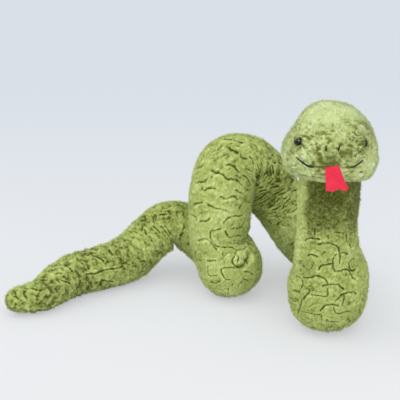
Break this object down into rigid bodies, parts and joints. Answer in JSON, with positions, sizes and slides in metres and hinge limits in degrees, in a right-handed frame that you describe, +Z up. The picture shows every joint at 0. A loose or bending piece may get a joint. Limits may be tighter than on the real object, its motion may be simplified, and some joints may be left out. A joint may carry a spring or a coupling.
{
  "type": "snake plush toy",
  "caption": "Green plush snake with bead eyes, a stitched smile and a red felt tongue, posed with its neck upright and its body in a high and a low arch.",
  "frame": {"origin": "centre of the footprint, on the surface that the toy stands on", "axes": "+Z up, -Y towards the side that the face looks to, +X along the toy from the tail to the neck"},
  "size_m": [0.4049, 0.2482, 0.2565],
  "materials": {
    "head_plush": "short soft pile",
    "body_plush": "short soft pile with sculpted patches",
    "filling": "loose polyester fibre",
    "felt": "matte felt",
    "thread": "stitched thread",
    "bead": "polished",
    "washer": "moulded"
  },
  "bodies": {
    "base": {"base_cover": "body_plush", "base_stuffing": "filling", "floor_run_cover": "body_plush", "floor_run_stuffing": "filling"},
    "neck_lower": {"neck_lower_cover": "body_plush", "neck_lower_stuffing": "filling"},
    "neck_upper": {"neck_upper_cover": "body_plush", "neck_upper_stuffing": "filling"},
    "head": {"head_cover": "head_plush", "chin_cover": "head_plush", "head_stuffing": "filling", "left_eye": "bead", "right_eye": "bead", "left_eye_washer": "washer", "right_eye_washer": "washer", "left_nostril_stitch": "thread", "right_nostril_stitch": "thread", "left_smile_stitch": "thread", "right_smile_stitch": "thread"},
    "tongue": {"tongue": "felt"},
    "rear": {"rear_turn_cover": "body_plush", "rear_turn_stuffing": "filling", "rising_leg_cover": "body_plush", "rising_leg_stuffing": "filling"},
    "front_leg": {"arch_rear_cover": "body_plush", "arch_rear_stuffing": "filling", "arch_front_cover": "body_plush", "arch_front_stuffing": "filling", "front_leg_cover": "body_plush", "front_leg_stuffing": "filling"},
    "low_arch": {"foot_run_cover": "body_plush", "foot_run_stuffing": "filling", "low_arch_rear_cover": "body_plush", "low_arch_rear_stuffing": "filling", "low_arch_front_cover": "body_plush", "low_arch_front_stuffing": "filling"},
    "tail_root": {"tail_root_cover": "body_plush", "tail_root_stuffing": "filling"},
    "tail_middle": {"tail_middle_cover": "body_plush", "tail_middle_stuffing": "filling"},
    "tail_tip": {"tail_tip_cover": "body_plush", "tail_tip_stuffing": "filling"}
  },
  "joints": [
    {"name": "neck_sway", "type": "hinge", "parent": "base", "child": "neck_lower", "pos_m": [0.15496, -0.06383, 0.08384], "axis": [0, 1, 0], "range_deg": [-14, 14]},
    {"name": "neck_nod", "type": "hinge", "parent": "neck_lower", "child": "neck_upper", "pos_m": [0.15211, -0.0668, 0.13882], "axis": [1, 0, 0], "range_deg": [-16, 16]},
    {"name": "head_turn", "type": "hinge", "parent": "neck_upper", "child": "head", "pos_m": [0.152, -0.06775, 0.191], "axis": [0, 0, 1], "range_deg": [-35, 35]},
    {"name": "tongue_flap", "type": "hinge", "parent": "head", "child": "tongue", "pos_m": [0.14834, -0.12105, 0.204], "axis": [-0.9945, 0.1045, 0], "range_deg": [0, 45], "stiffness_Nm_per_rad": 0.001},
    {"name": "rear_swing", "type": "hinge", "parent": "base", "child": "rear", "pos_m": [0.16318, 0.00674, 0.0374], "axis": [0, 0, 1], "range_deg": [-12, 12]},
    {"name": "arch_turn", "type": "hinge", "parent": "rear", "child": "front_leg", "pos_m": [0.11507, 0.08425, 0.08872], "axis": [0, 0, 1], "range_deg": [-10, 10]},
    {"name": "foot_swing", "type": "hinge", "parent": "front_leg", "child": "low_arch", "pos_m": [0.052, 0.02625, 0.0375], "axis": [0, 0, 1], "range_deg": [-12, 12]},
    {"name": "tail_lift", "type": "hinge", "parent": "low_arch", "child": "tail_root", "pos_m": [-0.0428, 0.08433, 0.04719], "axis": [-0.4854, 0.8743, 0], "range_deg": [0, 20]},
    {"name": "tail_swing", "type": "hinge", "parent": "tail_root", "child": "tail_middle", "pos_m": [-0.11416, 0.03386, 0.02435], "axis": [0, 0, 1], "range_deg": [-18, 18]},
    {"name": "tail_curl", "type": "hinge", "parent": "tail_middle", "child": "tail_tip", "pos_m": [-0.1523, -0.00626, 0.01903], "axis": [0, 0, 1], "range_deg": [-24, 24]}
  ]
}
